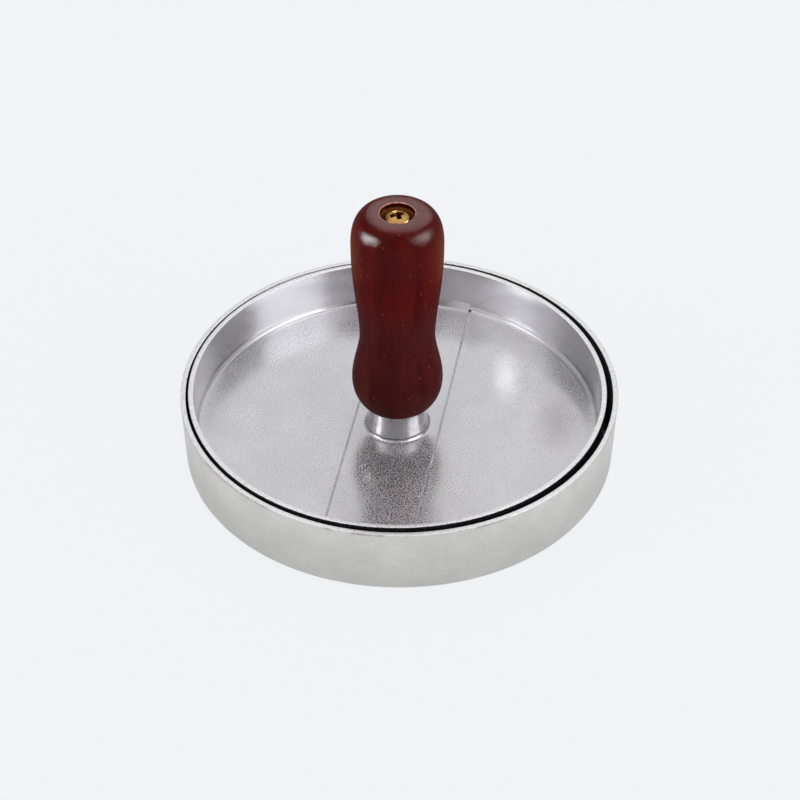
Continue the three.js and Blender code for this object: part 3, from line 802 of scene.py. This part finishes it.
def spring_washer():
    steel = plated_finish("oiled spring steel", colour(120, 118, 112), 0.35, 0.01 * MM)
    outer = (spring_high.x - spring_low.x) / 2
    ring = grown("spring_washer_steel", SPLIT_RING, bpy.data.meshes.new("empty"),
                 radius=outer - SPRING_WIRE_WIDTH / 2, wire_width=SPRING_WIRE_WIDTH,
                 wire_height=spring_high.z - spring_low.z, split_angle=SPRING_SPLIT, material=steel,
                 centre=PRESS_CENTRE + Vector((0, 0, (spring_low.z + spring_high.z) / 2)))
    return finished(ring, steel, 50)


# ======================= Studio =======================

def area_light(name, place, aim, width, height, power, roll=0.0):
    """A rectangular lamp aimed at a place, its width level until it is rolled, in degrees."""
    data = bpy.data.lights.new(name, "AREA")
    data.shape, data.size, data.size_y = "RECTANGLE", width, height
    data.energy = power
    light = bpy.data.objects.new(name, data)
    bpy.context.scene.collection.objects.link(light)
    light.location = place
    light.rotation_mode = "QUATERNION"
    aimed = (Vector(aim) - Vector(place)).to_track_quat("-Z", "Y")
    light.rotation_quaternion = aimed @ Quaternion((0, 0, 1), math.radians(roll))
    return light


def around(azimuth, elevation, distance):
    """A place at that azimuth, counted from +X towards +Y, and elevation, in degrees."""
    a, e = math.radians(azimuth), math.radians(elevation)
    return Vector((math.cos(a) * math.cos(e), math.sin(a) * math.cos(e), math.sin(e))) * distance


def studio():
    """A grey room with soft panels around the object and a ceiling that is bright except in front."""
    world = bpy.data.worlds.new("studio room")
    bpy.context.scene.world = world
    world.use_nodes = True
    net = Net(world.node_tree)
    way = net.add("ShaderNodeTexCoord").outputs["Generated"]
    height = net.add("ShaderNodeSeparateXYZ", {0: way}).outputs["Z"]
    level = net.vector_math("NORMALIZE", net.vector_math("MULTIPLY", way, (1, 1, 0)))

    def between(value, start, end, low, high):
        return net.add("ShaderNodeMapRange", {
            "Value": value, "From Min": start, "From Max": end, "To Min": low, "To Max": high},
            interpolation_type="SMOOTHSTEP").outputs[0]

    def panel(azimuth, half_width, softness, strength, low=22, high=58):
        """A soft panel, all in degrees, with its strength above the room's."""
        toward = net.vector_math("DOT_PRODUCT", level, tuple(around(azimuth, 0, 1)))
        start = math.cos(math.radians(half_width + softness))
        end = math.cos(math.radians(max(half_width - softness, 0)))
        across = between(toward, start, end, 0, strength)
        bottom = between(height, math.sin(math.radians(low - 6)), math.sin(math.radians(low + 6)), 0, 1)
        top = between(height, math.sin(math.radians(high - 8)), math.sin(math.radians(high + 8)), 1, 0)
        return net.math("MULTIPLY", across, net.math("MULTIPLY", bottom, top))

    room = 0.24
    ceiling = between(height, math.sin(math.radians(42)), math.sin(math.radians(56)), 0, 0.8)
    ceiling = net.math("MULTIPLY", ceiling, net.math("SUBTRACT", 1.0, panel(-90, 60, 20, 0.9, 20, 75)))
    low_band = between(height, math.sin(math.radians(11)), math.sin(math.radians(19)), 0.6, 0.0)
    light = net.math("ADD", net.math("ADD", ceiling, room), low_band)
    for soft_panel in (panel(78, 36, 12, 0.58), panel(-26, 22.5, 3, 1.5, 12),
                       panel(-167, 24, 8, 0.66), panel(-26, 22.5, 3, 0.9, 17, 28),
                       panel(-162, 9, 2, 4.2, 17, 28), panel(-127, 22, 9, 0.47, 30),
                       panel(-68, 18, 6, 0.47, 30)):
        light = net.math("ADD", light, soft_panel)
    background = world.node_tree.nodes["Background"]
    background.inputs["Color"].default_value = (0.985, 0.985, 1.0, 1.0)
    net.feed(background.inputs["Strength"], light)


def handle_lamps(wood, screw):
    """Three lamps for the glints in the varnish. Two of them also glint on the screw,
    and none of them shines on anything else."""
    centre = Vector((0, 0, GRIP_TOP - 8 * MM))
    left = area_light("left_glint", around(-168, 14, 0.9) + centre, centre, 0.42, 0.13, 70.0, 35)
    right = area_light("right_glint", around(-12, 26, 0.9) + centre, centre, 0.5, 0.5, 36.0)
    back = area_light("back_glint", around(80, 44, 0.9) + centre, centre, 0.9, 0.9, 30.0)
    for lamp, pieces in ((left, (wood, screw)), (right, (wood, screw)), (back, (wood,))):
        lit = bpy.data.collections.new("lit by " + lamp.name)
        for piece in pieces:
            lit.objects.link(piece)
        lamp.light_linking.receiver_collection = lit
        lamp.visible_diffuse = False


def floor():
    """A pale sweep that shines a little by itself, so that shadows on it stay faint."""
    size = 6.0
    mesh = bpy.data.meshes.new("floor")
    mesh.from_pydata([(-size, -size, 0), (size, -size, 0), (size, size, 0), (-size, size, 0)], [],
                     [(0, 1, 2, 3)])
    sweep_floor = in_scene("floor", mesh)
    material = bpy.data.materials.new("pale floor")
    material.use_nodes = True
    net = Net(material.node_tree)
    paper = net.tree.nodes["Principled BSDF"]
    net.feed(paper.inputs["Base Color"], (0.06, 0.06, 0.06, 1.0))
    net.feed(paper.inputs["Roughness"], 1.0)
    net.feed(paper.inputs["Specular IOR Level"], 0.0)
    net.feed(paper.inputs["Emission Color"], colour(242, 243, 247))
    net.feed(paper.inputs["Emission Strength"], 0.94)
    mesh.materials.append(material)


def camera():
    """Looks at the middle of the pan's rim from in front and above."""
    data = bpy.data.cameras.new("camera")
    data.sensor_width = 36
    data.lens = 116.19
    data.shift_x = 0.0009
    data.shift_y = -0.0156
    eye = bpy.data.objects.new("camera", data)
    bpy.context.scene.collection.objects.link(eye)
    aim = Vector((0, 0, PAN_TOP))
    eye.location = aim + around(-90, 39.46, 0.7083)
    eye.rotation_mode = "QUATERNION"
    eye.rotation_quaternion = (aim - eye.location).to_track_quat("-Z", "Y")
    bpy.context.scene.camera = eye


camera()
studio()
floor()
bpy.context.scene.view_settings.view_transform = "Standard"

PIECES = (
    (mould_pan, "mould_pan", "mould", "cast_aluminium"),
    (press_plate, "press_plate", "press", "turned_aluminium"),
    (handle, "handle", "press", "varnished_wood"),
    (handle_screw, "handle_screw", "press", "brass_plate"),
    (spring_washer, "spring_washer", "press", "spring_steel"),
    (flat_washer, "flat_washer", "lift_guide", "zinc_plate"),
)
made = {}
for make, node, body, finish in PIECES:
    piece = made[node] = make()
    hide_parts(node)
    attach(piece, body)

handle_lamps(made["handle"], made["handle_screw"])
